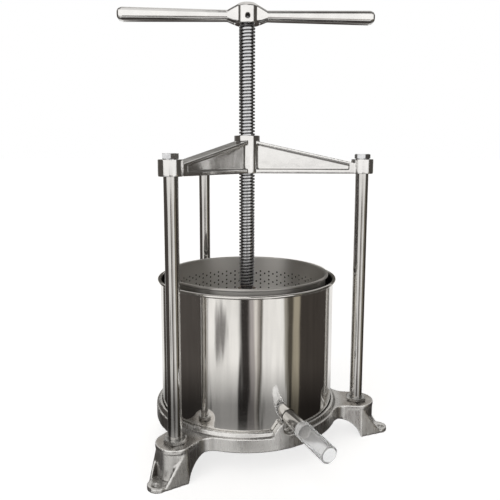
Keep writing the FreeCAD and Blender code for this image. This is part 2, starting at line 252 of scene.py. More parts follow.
def group_with(name, inputs, outputs):
    """An empty shader node group with its sockets, its two end nodes and its links."""
    group = bpy.data.node_groups.new(name, "ShaderNodeTree")
    for label, value in inputs:
        socket = group.interface.new_socket(label, in_out="INPUT", socket_type="NodeSocketFloat")
        socket.default_value = value
    for label in outputs:
        group.interface.new_socket(label, in_out="OUTPUT", socket_type="NodeSocketFloat")
    start = group.nodes.new("NodeGroupInput")
    end = group.nodes.new("NodeGroupOutput")
    return group, start, end


def noise(tree, vector, scale, detail, roughness=0.55):
    """A noise texture; scale is in repeats per metre, a number or a socket."""
    node = tree.nodes.new("ShaderNodeTexNoise")
    node.inputs["Detail"].default_value = detail
    node.inputs["Roughness"].default_value = roughness
    tree.links.new(vector, node.inputs["Vector"])
    if isinstance(scale, (int, float)):
        node.inputs["Scale"].default_value = scale
    else:
        tree.links.new(scale, node.inputs["Scale"])
    return node.outputs["Fac"]


def stretched(tree, vector, scale):
    """Coordinates scaled by a different number along each axis."""
    node = tree.nodes.new("ShaderNodeMapping")
    node.inputs["Scale"].default_value = scale
    tree.links.new(vector, node.inputs["Vector"])
    return node.outputs["Vector"]


def ranged(tree, value, low, high, to_low, to_high):
    """A value taken from one range to another, and held at its ends."""
    node = tree.nodes.new("ShaderNodeMapRange")
    node.inputs["From Min"].default_value = low
    node.inputs["From Max"].default_value = high
    node.inputs["To Min"].default_value = to_low
    node.inputs["To Max"].default_value = to_high
    tree.links.new(value, node.inputs["Value"])
    return node.outputs["Result"]


def calculated(tree, operation, first, second=None):
    """A Math node on sockets or plain numbers."""
    node = tree.nodes.new("ShaderNodeMath")
    node.operation = operation
    for index, value in enumerate((first, second)):
        if value is None:
            continue
        if isinstance(value, (int, float)):
            node.inputs[index].default_value = value
        else:
            tree.links.new(value, node.inputs[index])
    return node.outputs["Value"]


def off_axis(tree, place):
    """Distance from the press's axis, and the height."""
    parts = tree.nodes.new("ShaderNodeSeparateXYZ")
    tree.links.new(place, parts.inputs["Vector"])
    across = calculated(tree, "POWER", parts.outputs["X"], 2)
    ahead = calculated(tree, "POWER", parts.outputs["Y"], 2)
    return calculated(tree, "SQRT", calculated(tree, "ADD", across, ahead)), parts.outputs["Z"]


def mixed(tree, share, first, second):
    """A colour between two others, each a colour or a socket."""
    node = tree.nodes.new("ShaderNodeMix")
    node.data_type = "RGBA"
    tree.links.new(share, node.inputs["Factor"])
    for socket, value in ((node.inputs["A"], first), (node.inputs["B"], second)):
        if isinstance(value, tuple):
            socket.default_value = (*value, 1)
        else:
            tree.links.new(value, socket)
    return node.outputs["Result"]


def cast_skin_group():
    """Grain, stains and slow waves of a cast and tumbled surface."""
    group, start, end = group_with(
        "Cast skin", [("Grain per metre", 900)], ["Grain", "Stain", "Wave"]
    )
    place = group.nodes.new("ShaderNodeTexCoord").outputs["Object"]
    group.links.new(noise(group, place, start.outputs["Grain per metre"], 5, 0.6), end.inputs["Grain"])
    group.links.new(ranged(group, noise(group, place, 34, 4), 0.38, 0.66, 0, 1), end.inputs["Stain"])
    group.links.new(noise(group, place, 75, 2, 0.4), end.inputs["Wave"])
    return group


def edge_wear_and_painted_light_group():
    """Edges that handling keeps bright, with a painted highlight on them, and painted shade in the corners,
    from the bends of the mesh.
    """
    group, start, end = group_with("Edge wear", [("Full bend", 200)], ["Bright edge", "Painted corner shade"])
    bend = group.nodes.new("ShaderNodeAttribute")
    bend.attribute_name = "Bend"
    share = calculated(group, "DIVIDE", bend.outputs["Fac"], start.outputs["Full bend"])
    group.links.new(ranged(group, share, 0.3, 1, 0, 1), end.inputs["Bright edge"])
    group.links.new(ranged(group, share, -0.25, -1, 0, 1), end.inputs["Painted corner shade"])
    return group


def polish_lines_group():
    """Fine lines that a polishing wheel or belt leaves, level all round the press."""
    group, start, end = group_with("Polish lines", [("Lines per metre", 2600)], ["Lines", "Patches"])
    place = group.nodes.new("ShaderNodeTexCoord").outputs["Object"]
    level = stretched(group, place, (0.012, 0.012, 1))
    group.links.new(noise(group, level, start.outputs["Lines per metre"], 3, 0.7), end.inputs["Lines"])
    group.links.new(ranged(group, noise(group, place, 16, 3), 0.35, 0.7, 0, 1), end.inputs["Patches"])
    return group


def scratches_group():
    """Hair scratches in many directions, from use and washing."""
    group, start, end = group_with("Scratches", [("Scratches per metre", 70)], ["Scratches"])
    place = group.nodes.new("ShaderNodeTexCoord").outputs["Object"]
    found = None
    for turn in (0.3, 1.4, 2.3):
        lay = group.nodes.new("ShaderNodeMapping")
        lay.inputs["Rotation"].default_value = (turn, turn * 0.6, turn * 1.3)
        lay.inputs["Scale"].default_value = (1, 24, 24)
        group.links.new(place, lay.inputs["Vector"])
        fibre = noise(group, lay.outputs["Vector"], start.outputs["Scratches per metre"], 2, 0.5)
        line = ranged(group, fibre, 0.68, 0.74, 0, 1)
        found = line if found is None else calculated(group, "MAXIMUM", found, line)
    group.links.new(found, end.inputs["Scratches"])
    return group


CAST_SKIN = cast_skin_group()
EDGE_WEAR_AND_PAINTED_LIGHT = edge_wear_and_painted_light_group()
POLISH_LINES = polish_lines_group()
SCRATCHES = scratches_group()


def new_finish(name):
    """A material with only its shader, ready for its nodes."""
    finish = bpy.data.materials.new(name)
    finish.use_nodes = True
    return finish, finish.node_tree, finish.node_tree.nodes["Principled BSDF"]


def with_group(tree, group, **values):
    """A group placed in a material with its own values."""
    node = tree.nodes.new("ShaderNodeGroup")
    node.node_tree = group
    for label, value in values.items():
        node.inputs[label.replace("_", " ")].default_value = value
    return node.outputs


def bumped(tree, shader, height, strength, distance, normal=None):
    """Turns a height into a bent normal on the shader."""
    bump = tree.nodes.new("ShaderNodeBump")
    bump.inputs["Strength"].default_value = strength
    bump.inputs["Distance"].default_value = distance
    tree.links.new(height, bump.inputs["Height"])
    if normal is not None:
        tree.links.new(normal, bump.inputs["Normal"])
    tree.links.new(bump.outputs["Normal"], shader.inputs["Normal"])
    return bump.outputs["Normal"]


# Places of dried juice, of dark brown round the screw, of painted shade on the container's inside and of the
# dark ring at the spout's root, each as the two ends between which it comes in
EAR_RADII = (122 * MM, 130 * MM)
EAR_HEIGHTS = (30 * MM, 36 * MM)
SCREW_DARK_RADII = (18.5 * MM, 13 * MM)
GAP_SHADE_RADII = (CONTAINER_RADIUS - 0.3 * MM, CONTAINER_RADIUS - 0.5 * MM)
ROOT_DARK_RADII = (CONTAINER_RADIUS + 1.3 * MM, CONTAINER_RADIUS + 0.5 * MM)


def film_on_ears(tree, place):
    """Where juice dries on: the level tops of the three ears."""
    facing = tree.nodes.new("ShaderNodeSeparateXYZ")
    tree.links.new(tree.nodes.new("ShaderNodeNewGeometry").outputs["Normal"], facing.inputs["Vector"])
    level = ranged(tree, facing.outputs["Z"], 0.85, 0.97, 0, 1)
    distance, height = off_axis(tree, place)
    outside = ranged(tree, distance, *EAR_RADII, 0, 1)
    high = ranged(tree, height, *EAR_HEIGHTS, 0, 1)
    return calculated(tree, "MULTIPLY", calculated(tree, "MULTIPLY", level, outside), high)


def cast_aluminium_finish(name, darkened_round_screw=False):
    """Tumbled casting, edges worn bright with a painted highlight on them and painted shade in its corners:
    dark brown round the screw, or juice on the ears.
    """
    finish, tree, shader = new_finish(name)
    skin = with_group(tree, CAST_SKIN, Grain_per_metre=1100)
    wear = with_group(tree, EDGE_WEAR_AND_PAINTED_LIGHT, Full_bend=170)
    place = tree.nodes.new("ShaderNodeTexCoord").outputs["Object"]
    rubbed = noise(tree, stretched(tree, place, (1, 1, 0.08)), 420, 3)
    plain = mixed(tree, skin["Stain"], (0.70, 0.695, 0.685), (0.88, 0.873, 0.86))
    if darkened_round_screw:
        # dark brown near the screw, on the plate's hub
        near = ranged(tree, off_axis(tree, place)[0], *SCREW_DARK_RADII, 0, 1)
        plain = mixed(tree, near, plain, (0.14, 0.10, 0.065))
    else:
        patchy = ranged(tree, skin["Stain"], 0, 1, 0.6, 0.3)
        film = calculated(tree, "MULTIPLY", film_on_ears(tree, place), patchy)
        plain = mixed(tree, film, plain, (0.33, 0.285, 0.24))
    # edges worn bright, and a painted highlight: convex edges are lightened in the base colour
    worn_and_highlit = mixed(tree, wear["Bright edge"], plain, (0.93, 0.925, 0.915))
    # painted shade: concave corners are darkened in the base colour
    tree.links.new(mixed(tree, wear["Painted corner shade"], worn_and_highlit, (0.25, 0.235, 0.22)), shader.inputs["Base Color"])
    shader.inputs["Metallic"].default_value = 1
    rough = ranged(tree, rubbed, 0.3, 0.7, 0.23, 0.35)
    tree.links.new(rough, shader.inputs["Roughness"])
    slow = bumped(tree, shader, skin["Wave"], 0.3, 0.6 * MM)
    fine = calculated(tree, "ADD", skin["Grain"], calculated(tree, "MULTIPLY", rubbed, 0.5))
    bumped(tree, shader, fine, 0.18, 0.16 * MM, slow)
    return finish


def polished_aluminium_finish():
    """Bridge and handle: castings polished by hand, a little wavy, with fine scratches."""
    finish, tree, shader = new_finish("Polished aluminium")
    skin = with_group(tree, CAST_SKIN, Grain_per_metre=1500)
    wear = with_group(tree, EDGE_WEAR_AND_PAINTED_LIGHT, Full_bend=220)
    marks = with_group(tree, SCRATCHES, Scratches_per_metre=80)
    plain = mixed(tree, skin["Stain"], (0.85, 0.845, 0.84), (0.95, 0.945, 0.94))
    # painted shade: concave corners, as between the handle's hub and its flares, are darkened in the base
    # colour
    tree.links.new(mixed(tree, wear["Painted corner shade"], plain, (0.24, 0.23, 0.215)), shader.inputs["Base Color"])
    shader.inputs["Metallic"].default_value = 1
    rough = ranged(tree, skin["Stain"], 0, 1, 0.10, 0.17)
    tree.links.new(calculated(tree, "ADD", rough, ranged(tree, marks["Scratches"], 0, 1, 0, 0.1)),
                   shader.inputs["Roughness"])
    slow = bumped(tree, shader, skin["Wave"], 0.25, 0.5 * MM)
    bumped(tree, shader, skin["Grain"], 0.12, 0.05 * MM, slow)
    return finish


def mirror_stainless_finish():
    """Container: bright polished sheet, a little wavy from rolling, rougher on its inside and painted dark
    there as painted shade behind the basket.
    """
    finish, tree, shader = new_finish("Mirror stainless")
    lines = with_group(tree, POLISH_LINES, Lines_per_metre=3000)
    marks = with_group(tree, SCRATCHES, Scratches_per_metre=60)
    shader.inputs["Metallic"].default_value = 1
    polished = mixed(tree, lines["Patches"], (0.84, 0.825, 0.80), (0.90, 0.885, 0.86))
    rough = ranged(tree, lines["Lines"], 0.3, 0.7, 0.05, 0.095)
    gloss = calculated(tree, "ADD", rough, ranged(tree, marks["Scratches"], 0, 1, 0, 0.06))
    place = tree.nodes.new("ShaderNodeTexCoord").outputs["Object"]
    # painted shade: the wall's inside is painted nearly black, as the shade in the gap behind the basket
    inside = ranged(tree, off_axis(tree, place)[0], *GAP_SHADE_RADII, 0, 1)
    tree.links.new(mixed(tree, inside, polished, (0.05, 0.047, 0.044)), shader.inputs["Base Color"])
    tree.links.new(calculated(tree, "ADD", gloss, calculated(tree, "MULTIPLY", inside, 0.35)),
                   shader.inputs["Roughness"])
    rolling = noise(tree, stretched(tree, place, (1, 1, 0.25)), 55, 2, 0.4)
    slow = bumped(tree, shader, rolling, 0.12, 0.6 * MM)
    bumped(tree, shader, lines["Lines"], 0.06, 0.02 * MM, slow)
    return finish


def satin_stainless_finish():
    """Basket and floors: satin sheet with level grinding lines."""
    finish, tree, shader = new_finish("Satin stainless")
    lines = with_group(tree, POLISH_LINES, Lines_per_metre=2200)
    shader.inputs["Metallic"].default_value = 1
    plain = mixed(tree, lines["Lines"], (0.66, 0.645, 0.625), (0.80, 0.785, 0.76))
    tree.links.new(mixed(tree, lines["Patches"], plain, (0.70, 0.68, 0.65)), shader.inputs["Base Color"])
    tree.links.new(ranged(tree, lines["Lines"], 0.3, 0.7, 0.38, 0.50), shader.inputs["Roughness"])
    around = tree.nodes.new("ShaderNodeTangent")
    around.direction_type = "RADIAL"
    around.axis = "Z"
    tree.links.new(around.outputs["Tangent"], shader.inputs["Tangent"])
    shader.inputs["Anisotropic"].default_value = 0.85
    shader.inputs["Anisotropic Rotation"].default_value = 0.25
    bumped(tree, shader, lines["Lines"], 0.25, 0.05 * MM)
    return finish


def spout_finish():
    """Spout: drawn tube with a satin skin, dark at its weld where it meets the wall."""
    finish, tree, shader = new_finish("Spout stainless")
    place = tree.nodes.new("ShaderNodeTexCoord").outputs["Object"]
    along = noise(tree, stretched(tree, place, (1, 0.03, 1)), 1800, 2, 0.6)
    # dark within a millimetre or so of the wall, at the weld
    dark_root = ranged(tree, off_axis(tree, place)[0], *ROOT_DARK_RADII, 0, 1)
    plain = mixed(tree, along, (0.60, 0.59, 0.575), (0.74, 0.73, 0.71))
    tree.links.new(mixed(tree, dark_root, plain, (0.055, 0.048, 0.043)), shader.inputs["Base Color"])
    shader.inputs["Metallic"].default_value = 1
    tree.links.new(ranged(tree, along, 0.3, 0.7, 0.12, 0.20), shader.inputs["Roughness"])
    bumped(tree, shader, along, 0.1, 0.03 * MM)
    return finish


def chromed_steel_finish():
    """Columns: ground bar with bright chromium, a few hair marks along it."""
    finish, tree, shader = new_finish("Chromed steel")
    place = tree.nodes.new("ShaderNodeTexCoord").outputs["Object"]
    along = noise(tree, stretched(tree, place, (1, 1, 0.02)), 1500, 2, 0.6)
    cloud = noise(tree, place, 40, 3)
    shader.inputs["Metallic"].default_value = 1
    tree.links.new(mixed(tree, ranged(tree, cloud, 0.3, 0.7, 0, 1), (0.66, 0.65, 0.635), (0.74, 0.73, 0.715)),
                   shader.inputs["Base Color"])
    tree.links.new(ranged(tree, along, 0.35, 0.75, 0.05, 0.13), shader.inputs["Roughness"])
    bumped(tree, shader, along, 0.08, 0.02 * MM)
    return finish


def zinc_steel_finish(name, dark_radius, bright_radius, smoothest):
    """Zinc on steel: crests rubbed bright, grease and dust in the roots of the thread."""
    finish, tree, shader = new_finish(name)
    place = tree.nodes.new("ShaderNodeTexCoord").outputs["Object"]
    bright = ranged(tree, off_axis(tree, place)[0], dark_radius, bright_radius, 0, 1)
    cloud = ranged(tree, noise(tree, place, 220, 4), 0.35, 0.7, 0, 1)
    zinc = mixed(tree, cloud, (0.70, 0.71, 0.735), (0.84, 0.85, 0.875))
    tree.links.new(mixed(tree, bright, (0.17, 0.17, 0.175), zinc), shader.inputs["Base Color"])
    shader.inputs["Metallic"].default_value = 1
    rough = ranged(tree, noise(tree, place, 700, 3), 0.3, 0.7, smoothest, smoothest + 0.12)
    tree.links.new(rough, shader.inputs["Roughness"])
    bumped(tree, shader, noise(tree, place, 1600, 3), 0.2, 0.03 * MM)
    return finish


def bright_steel_finish():
    """Lock nuts and retaining screw: bright steel with handling marks."""
    finish, tree, shader = new_finish("Bright steel")
    skin = with_group(tree, CAST_SKIN, Grain_per_metre=2400)
    marks = with_group(tree, SCRATCHES, Scratches_per_metre=150)
    shader.inputs["Metallic"].default_value = 1
    tree.links.new(mixed(tree, skin["Stain"], (0.54, 0.54, 0.535), (0.68, 0.68, 0.67)),
                   shader.inputs["Base Color"])
    rough = ranged(tree, skin["Grain"], 0.3, 0.7, 0.20, 0.30)
    tree.links.new(calculated(tree, "ADD", rough, ranged(tree, marks["Scratches"], 0, 1, 0, 0.12)),
                   shader.inputs["Roughness"])
    bumped(tree, shader, skin["Grain"], 0.15, 0.04 * MM)
    return finish


def shaded_pin_finish():
    """Spring pin: steel painted nearly black, as painted shade in the hole it sits in."""
    finish, tree, shader = new_finish("Pin in painted shade")
    skin = with_group(tree, CAST_SKIN, Grain_per_metre=2400)
    shader.inputs["Metallic"].default_value = 1
    tree.links.new(mixed(tree, skin["Stain"], (0.035, 0.031, 0.028), (0.07, 0.063, 0.057)),
                   shader.inputs["Base Color"])
    tree.links.new(ranged(tree, skin["Grain"], 0.3, 0.7, 0.35, 0.50), shader.inputs["Roughness"])
    bumped(tree, shader, skin["Grain"], 0.2, 0.04 * MM)
    return finish


def clear_hose_finish():
    """Soft clear plastic, milky with age, with faint lines along it from the die."""
    finish, tree, shader = new_finish("Clear plastic")
    place = tree.nodes.new("ShaderNodeTexCoord").outputs["Object"]
    cloud = ranged(tree, noise(tree, place, 120, 3), 0.35, 0.7, 0, 1)
    die = noise(tree, stretched(tree, place, (1, 0.03, 1)), 1200, 2)
    tree.links.new(mixed(tree, cloud, (0.93, 0.93, 0.93), (0.98, 0.98, 0.98)), shader.inputs["Base Color"])
    tree.links.new(ranged(tree, die, 0.3, 0.7, 0.14, 0.24), shader.inputs["Roughness"])
    shader.inputs["Metallic"].default_value = 0
    shader.inputs["IOR"].default_value = 1.13
    shader.inputs["Transmission Weight"].default_value = 0.80
    bumped(tree, shader, die, 0.15, 0.05 * MM)
    return finish


CAST = cast_aluminium_finish("Cast aluminium")
SCREW_DARKENED_CAST = cast_aluminium_finish("Cast aluminium dark round the screw", darkened_round_screw=True)
POLISHED = polished_aluminium_finish()
MIRROR = mirror_stainless_finish()
SATIN = satin_stainless_finish()
SPOUT_STEEL = spout_finish()
CHROME = chromed_steel_finish()
THREAD_ZINC = zinc_steel_finish("Zinc on the screw", 7.7 * MM, 9.7 * MM, 0.20)
BOLT_ZINC = zinc_steel_finish("Zinc on the bolts", 1 * MM, 2 * MM, 0.13)
BRIGHT = bright_steel_finish()
# painted shade: the spring pin is painted nearly black
PIN_SHADE = shaded_pin_finish()
CLEAR = clear_hose_finish()


# Castings


def castings():
    """Base, bridge, handle and pressure plate, each as one rounded casting."""
    base = softened("base", voxel=0.9 * MM, rounds=5, share=0.4)
    piece("base_casting", base, CAST, "root", ["base"])
    bridge = softened("bridge", voxel=0.6 * MM, rounds=4, share=0.45)
    piece("bridge_casting", bridge, POLISHED, "root", ["bridge"])
    handle = softened("handle", voxel=0.5 * MM, rounds=8, share=0.4)
    piece("handle_casting", handle, POLISHED, "screw", ["handle"])
    plate = softened("pressure_plate", voxel=0.8 * MM, rounds=3, share=0.5)
    piece("plate_casting", plate, SCREW_DARKENED_CAST, "pressure_plate", ["pressure_plate"])


# Columns, nuts and bolts


def hexagon_ring(shape, flats, height, reach, slope, count=72):
    """A ring that follows a hexagon, and bends up or down where its corners pass the chamfer's cone."""
    ring = []
    for step in range(count):
        angle = 2 * math.pi * step / count
        radius = flats / 2 / math.cos((angle + math.pi / 6) % (math.pi / 3) - math.pi / 6)
        bend = slope * max(0.0, radius - reach)
        ring.append(shape.verts.new((radius * math.cos(angle), radius * math.sin(angle), height + bend)))
    return ring


def add_hexagon(shape, flats, low, high, before, after, count=72):
    """Chamfered hexagon between two heights, with the rings of its lower and upper side given."""
    reach = flats / 2 * HEXAGON_CHAMFER_START
    slope = math.tan(math.radians(HEXAGON_CHAMFER_ANGLE))
    lower = [ring_of(shape, radius, height, count) for radius, height in before]
    lower.append(ring_of(shape, reach, low, count))
    lower.append(hexagon_ring(shape, flats, low, reach, slope, count))
    upper = [hexagon_ring(shape, flats, high, reach, -slope, count), ring_of(shape, reach, high, count)]
    upper += [ring_of(shape, radius, height, count) for radius, height in after]
    rings = lower + upper
    for below, above in zip(rings, rings[1:]):
        bridge_rings(shape, below, above)
    return rings


def columns_and_fasteners():
    """On each arm a column, the thin nut at its foot and the bolt on its top."""
    for arm in ARMS:
        low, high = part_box("column_" + arm)
        middle = Vector(((low.x + high.x) / 2, (low.y + high.y) / 2, 0))
        radius = (high.x - low.x) / 2
        outward = math.atan2(middle.y, middle.x)
        place = Matrix.Translation(middle) @ Matrix.Rotation(outward, 4, "Z")

        bar = lathe("column_bar", chamfered_rod(radius, low.z, high.z, 0.6 * MM), 64)
        bar.transform(place)
        piece("column_bar_" + arm, bar, CHROME, "root", ["column_" + arm])

        nut_low, nut_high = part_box("lock_nut_" + arm)
        bore = radius + 0.1 * MM
        chamfer = 0.5 * MM

        def nut(shape):
            inner_low = [(bore, nut_low.z + chamfer), (bore + chamfer, nut_low.z)]
            inner_high = [(bore + chamfer, nut_high.z), (bore, nut_high.z - chamfer)]
            rings = add_hexagon(shape, LOCK_NUT_FLATS, nut_low.z, nut_high.z, inner_low, inner_high)
            bridge_rings(shape, rings[-1], rings[0])

        nut_mesh = mesh_from("lock_nut", nut)
        nut_mesh.transform(place)
        piece("thin_nut_" + arm, nut_mesh, BRIGHT, "root", ["lock_nut_" + arm], sharp=24)

        bolt_low, bolt_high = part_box("bridge_bolt_" + arm)
        head_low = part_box("bridge")[0].z + BRIDGE_BOSS_HEIGHT

        def bolt(shape):
            washer = BOLT_FLATS / 2 * 0.93
            washer_top = head_low + 0.4 * MM
            stem = chamfered_rod(BOLT_SHANK, bolt_low.z, head_low, 0.8 * MM)[:3]
            under = stem + [(BOLT_SHANK, head_low), (washer, head_low), (washer, washer_top)]
            add_hexagon(shape, BOLT_FLATS, washer_top, bolt_high.z, under, [(0, bolt_high.z)])

        bolt_mesh = mesh_from("bridge_bolt", bolt)
        bolt_mesh.transform(place @ Matrix.Rotation(math.radians(BOLT_TURN), 4, "Z"))
        piece("hexagon_bolt_" + arm, bolt_mesh, BOLT_ZINC, "root", ["bridge_bolt_" + arm],
              sharp=24)


# Screw, pin and what hangs on the screw


def add_thread(shape, low, high, per_turn=56):
    """One continuous trapezoidal thread, right hand, that fades into its core at both ends."""
    half_crest = 0.93 * MM
    half_foot = 1.48 * MM
    start_share = 0.4
    section = [(-half_foot, 0), (-half_crest, 1), (half_crest, 1), (half_foot, 0)]
    first = math.floor(low / SCREW_PITCH) - 1
    last = math.ceil(high / SCREW_PITCH) + 1
    rows = []
    for step in range((last - first) * per_turn + 1):
        turn = first + step / per_turn
        angle = 2 * math.pi * turn
        row = []
        for offset, crest in section:
            height = turn * SCREW_PITCH + offset
            run_in = max(0, (height - low) / SCREW_PITCH - start_share)
            run_out = max(0, (high - height) / SCREW_PITCH - start_share)
            fade = min(1, run_in, run_out)
            radius = SCREW_ROOT + (SCREW_CREST - SCREW_ROOT) * crest * fade
            kept = min(max(height, low), high)
            row.append(shape.verts.new((radius * math.cos(angle), radius * math.sin(angle), kept)))
        rows.append(row)
    for step, (row, after) in enumerate(zip(rows, rows[1:])):
        for inner in range(3):
            shape.faces.new((row[inner], after[inner], after[inner + 1], row[inner + 1]))
        above = step + per_turn
        if above + 1 < len(rows):
            shape.faces.new((row[3], after[3], rows[above + 1][0], rows[above][0]))


def screw_mesh():
    """The threaded bar with its two plain ends."""
    low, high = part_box("screw")
    thread_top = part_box("handle")[0].z + 3 * MM
    room = 0.2 * MM
    chamfer_low = 0.5 * MM
    chamfer_high = 0.6 * MM

    def add_ends(shape):
        outer = [edge for edge in shape.edges if edge.is_boundary]
        bmesh.ops.holes_fill(shape, edges=outer, sides=0)
        add_lathe(shape, [
            (0, low.z),
            (END_SPIGOT - chamfer_low, low.z),
            (END_SPIGOT, low.z + chamfer_low),
            (END_SPIGOT, SCREW_SHOULDER - room),
            (0, SCREW_SHOULDER - room),
        ], 48)
        add_lathe(shape, [
            (0, thread_top + room),
            (SCREW_ROOT, thread_top + room),
            (SCREW_ROOT, high.z - chamfer_high),
            (SCREW_ROOT - chamfer_high, high.z),
            (0, high.z),
        ], 48)

    thread = mesh_from("screw_thread", lambda shape: add_thread(shape, SCREW_SHOULDER, thread_top))
    return added_to(thread, add_ends)


def pin_mesh():
    """A rolled spring pin: a tube with a slot along it."""
    low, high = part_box("handle_pin")
    middle = (low + high) / 2
    outside = PIN_RADIUS - 0.05 * MM
    inside = outside - PIN_WALL
    half = PIN_LENGTH / 2
    count = 32

    def build(shape):
        rings = []
        for size, height in ((outside, -half), (outside, half), (inside, half), (inside, -half)):
            ring = []
            for step in range(count + 1):
                angle = math.radians(PIN_GAP + (360 - 2 * PIN_GAP) * step / count)
                ring.append(shape.verts.new((size * math.cos(angle), size * math.sin(angle), height)))
            rings.append(ring)
        for ring, after in zip(rings, rings[1:] + rings[:1]):
            for step in range(count):
                shape.faces.new((ring[step], ring[step + 1], after[step + 1], after[step]))
        for end in (0, count):
            shape.faces.new([ring[end] for ring in rings])

    mesh = mesh_from("spring_pin", build)
    handle = math.radians(HANDLE_ANGLE)
    across = Vector((math.sin(handle), -math.cos(handle), 0))
    turn = across.to_track_quat("Z", "Y").to_matrix().to_4x4()
    mesh.transform(Matrix.Translation(middle) @ turn)
    return mesh


def screw_assembly():
    piece("screw_bar", screw_mesh(), THREAD_ZINC, "screw", ["screw"], sharp=30)
    piece("spring_pin", pin_mesh(), PIN_SHADE, "screw", ["handle_pin"])
    refinish("retaining_screw", BRIGHT)


# Container and basket


def add_bead(shape, outside, top, radius):
    """The rolled rim of a sheet, given by its outside radius, its top and the radius of its section."""
    add_lathe(shape, arc(outside - radius, top - radius, radius, 0, 345, 23), 240, closed=True)


def container_mesh():
    """The round wall with the spout's hole and its rolled rim."""
    low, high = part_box("container_wall")
    inner = CONTAINER_RADIUS - CONTAINER_SHEET
    bead_height = high.z - CONTAINER_BEAD

    def build(shape):
        add_lathe(shape, [
            (inner, low.z),
            (CONTAINER_RADIUS - 0.3 * MM, low.z),
            (CONTAINER_RADIUS, low.z + 0.3 * MM),
            (CONTAINER_RADIUS, bead_height),
            (inner, bead_height),
        ], 240, closed=True)

    wall = mesh_from("container_sheet", build)
    cutter_mesh = lathe("spout_cut", chamfered_rod(SPOUT_RADIUS, -15 * MM, 15 * MM, 0.1 * MM), 64)
    cutter_mesh.transform(spout_place(CONTAINER_RADIUS))
    cutter = bpy.data.objects.new("spout_cut", cutter_mesh)
    bpy.context.scene.collection.objects.link(cutter)

    def cut(carrier):
        hole = carrier.modifiers.new("Spout hole", "BOOLEAN")
        hole.operation = "DIFFERENCE"
        hole.solver = "EXACT"
        hole.object = cutter

    wall = frozen("container_sheet", wall, cut)
    bpy.data.objects.remove(cutter)
    return added_to(wall, lambda shape: add_bead(shape, RIM_OUTSIDE, high.z, CONTAINER_BEAD))


def spout_place(reach):
    """Where a point of the spout's axis lies, with local Z along the spout."""
    slope = math.radians(SPOUT_SLOPE)
    along = Vector((0, -math.cos(slope), -math.sin(slope)))
    start = Vector((0, -CONTAINER_RADIUS, SPOUT_ROOT_HEIGHT))
    point = start + along * (reach - CONTAINER_RADIUS) / math.cos(slope)
    return Matrix.Translation(point) @ along.to_track_quat("Z", "Y").to_matrix().to_4x4()


def add_weld(shape, throat, count=72, around=8):
    """A small round weld where the spout's tube meets the wall."""
    place = spout_place(CONTAINER_RADIUS)
    rings = []
    for step in range(count):
        angle = 2 * math.pi * step / count
        across = Vector((math.cos(angle), math.sin(angle), 0))
        side = place.to_3x3() @ across
        point = place @ (across * SPOUT_RADIUS)
        point.y = -math.sqrt(CONTAINER_RADIUS ** 2 - point.x ** 2)
        away = Vector((point.x, point.y, 0)).normalized()
        rings.append([
            shape.verts.new(point + throat * (side * math.cos(turn) + away * math.sin(turn)))
            for turn in (2 * math.pi * part / around for part in range(around))
        ])
    for ring, after in zip(rings, rings[1:] + rings[:1]):
        bridge_rings(shape, ring, after)


def spout_mesh():
    """The short tube and its weld."""
    length = (SPOUT_REACH - CONTAINER_RADIUS) / math.cos(math.radians(SPOUT_SLOPE))
    root = -1.2 * MM

    def build(shape):
        add_lathe(shape, [
            (SPOUT_BORE, root),
            (SPOUT_RADIUS, root),
            (SPOUT_RADIUS, length - 0.4 * MM),
            (SPOUT_RADIUS - 0.3 * MM, length),
            (SPOUT_BORE + 0.3 * MM, length),
            (SPOUT_BORE, length - 0.4 * MM),
        ], 64, closed=True)

    mesh = mesh_from("spout_tube", build)
    mesh.transform(spout_place(CONTAINER_RADIUS))
    return added_to(mesh, lambda shape: add_weld(shape, 0.6 * MM))


def hose_mesh():
    """The hose: widened where it sits on the spout, with its edges broken."""
    cosine = math.cos(math.radians(SPOUT_SLOPE))
    start = (SPOUT_REACH - CONTAINER_RADIUS) / cosine - HOSE_OVERLAP
    end = (HOSE_REACH - CONTAINER_RADIUS) / cosine
    stretched_bore = SPOUT_RADIUS + 0.05 * MM
    step = start + HOSE_OVERLAP

    def build(shape):
        add_lathe(shape, [
            (stretched_bore, start),
            (HOSE_RADIUS - 0.3 * MM, start),
            (HOSE_RADIUS, start + 0.3 * MM),
            (HOSE_RADIUS, step + 1 * MM),
            (HOSE_RADIUS - 0.15 * MM, step + 5 * MM),
            (HOSE_RADIUS - 0.15 * MM, end - 0.3 * MM),
            (HOSE_RADIUS - 0.45 * MM, end),
            (HOSE_BORE + 0.1 * MM, end),
            (HOSE_BORE, end - 0.2 * MM),
            (HOSE_BORE, step + 1 * MM),
            (stretched_bore, step),
        ], 72, closed=True)

    mesh = mesh_from("hose_tube", build)
    mesh.transform(spout_place(CONTAINER_RADIUS))
    return mesh


# The basket's wall has main columns of holes, and columns between them with every second hole

HOLE_COLUMNS = 100
HOLE_RADIUS = 1.35 * MM
HOLE_ROW = 6.1 * MM
FIRST_HOLE = 48 * MM
HOLE_ROWS = 24
CELL_SIDE = 3


def cell_border(column, low, high):
    """Points round one cell of the wall, as (angle step, height) with the steps of a third of a column."""
    start = column * CELL_SIDE
    rises = CELL_SIDE * round((high - low) / HOLE_ROW)
    rise = (high - low) / rises
    border = [(start + step, low) for step in range(CELL_SIDE)]
    border += [(start + CELL_SIDE, low + rise * step) for step in range(rises)]
    border += [(start + CELL_SIDE - step, high) for step in range(CELL_SIDE)]
    border += [(start, high - rise * step) for step in range(rises)]
    return border


def wall_point(step, height):
    """A point of the basket's outer face."""
    angle = 2 * math.pi * step / (HOLE_COLUMNS * CELL_SIDE)
    return Vector((BASKET_RADIUS * math.cos(angle), BASKET_RADIUS * math.sin(angle), height))


